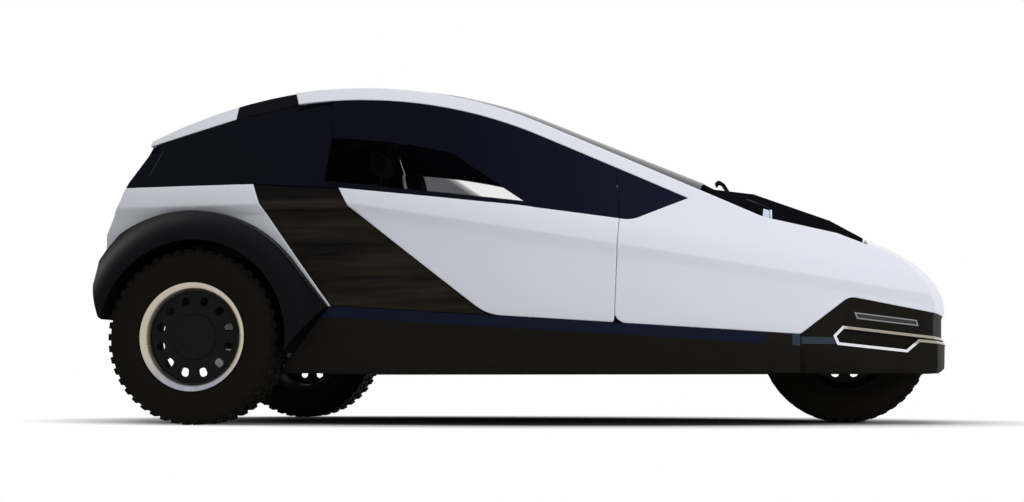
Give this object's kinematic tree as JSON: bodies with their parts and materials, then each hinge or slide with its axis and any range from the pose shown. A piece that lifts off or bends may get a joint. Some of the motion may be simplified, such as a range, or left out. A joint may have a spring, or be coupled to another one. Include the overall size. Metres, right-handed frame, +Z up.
{
  "type": "three wheeled car",
  "caption": "Enclosed three wheeled car with a steered front wheel, driven rear wheels, doors, a lifting hatch and a hollow cabin with seats.",
  "frame": {"origin": "on the ground, under the middle of the car's length and width", "axes": "+X forward, +Y to the car's left, +Z up"},
  "size_m": [3.4738, 1.808, 1.4522],
  "materials": {
    "battery": "matte",
    "bright_trim": "polished",
    "cast_metal": "matte",
    "cladding": "satin",
    "dash_plastic": "matte",
    "gloss_panel": "gloss",
    "lamp_glass": "gloss",
    "lamp_red": "gloss",
    "paint": "gloss",
    "seat_leather": "matte",
    "steel": "satin",
    "tinted_glass": "gloss",
    "tyre": "matte",
    "underbody": "matte",
    "wheel_metal": "polished"
  },
  "bodies": {
    "body": {"floor_pan": "underbody", "battery_pack": "battery", "drive_unit": "cast_metal", "rear_axle": "steel", "steering_head": "steel", "sills": "cladding", "rails": "paint", "flanks": "paint", "hinge_posts": "underbody", "quarters": "paint", "arches": "cladding", "pillars": "gloss_panel", "rear_side_glass": "tinted_glass", "quarter_lights": "tinted_glass", "roof_panel": "gloss_panel", "windscreen": "tinted_glass", "cowl": "gloss_panel", "nose": "paint", "front_bumper": "cladding", "intake_trim": "bright_trim", "head_lamps": "gloss_panel", "head_lamp_lenses": "lamp_glass", "bumper_lamps": "lamp_glass", "spoiler": "paint", "rear_window": "tinted_glass", "rear_bumper": "cladding", "door_hinges": "steel", "seats": "seat_leather", "dashboard": "dash_plastic", "hand_wheel": "dash_plastic", "wiper": "cladding"},
    "wheel_rear_right": {"tyre_rear_right": "tyre", "rim_rear_right": "wheel_metal"},
    "wheel_rear_left": {"tyre_rear_left": "tyre", "rim_rear_left": "wheel_metal"},
    "fork": {"front_fork": "steel"},
    "wheel_front": {"tyre_front": "tyre", "rim_front": "wheel_metal"},
    "door_right": {"door_right": "paint", "door_glass_right": "tinted_glass"},
    "door_left": {"door_left": "paint", "door_glass_left": "tinted_glass"},
    "hatch": {"hatch_panel": "paint", "hatch_glass": "tinted_glass", "tail_lamps": "lamp_red"}
  },
  "joints": [
    {"name": "rear_right_spin", "type": "hinge", "parent": "body", "child": "wheel_rear_right", "pos_m": [-1.25, -0.78, 0.35], "axis": [0, 1, 0], "continuous": true},
    {"name": "rear_left_spin", "type": "hinge", "parent": "body", "child": "wheel_rear_left", "pos_m": [-1.25, 0.78, 0.35], "axis": [0, 1, 0], "continuous": true},
    {"name": "steer", "type": "hinge", "parent": "body", "child": "fork", "pos_m": [1.32, 0, 0.35], "axis": [-0.342, 0, 0.9397], "range_deg": [-35, 35]},
    {"name": "front_spin", "type": "hinge", "parent": "fork", "child": "wheel_front", "pos_m": [1.32, 0, 0.35], "axis": [0, 1, 0], "continuous": true},
    {"name": "door_right_swing", "type": "hinge", "parent": "body", "child": "door_right", "pos_m": [0.376, -0.672, 0.6], "axis": [0, 0, 1], "range_deg": [0, 62]},
    {"name": "door_left_swing", "type": "hinge", "parent": "body", "child": "door_left", "pos_m": [0.376, 0.672, 0.6], "axis": [0, 0, -1], "range_deg": [0, 62]},
    {"name": "hatch_lift", "type": "hinge", "parent": "body", "child": "hatch", "pos_m": [-1.55, 0, 1.138], "axis": [0, 1, 0], "range_deg": [0, 75]}
  ]
}
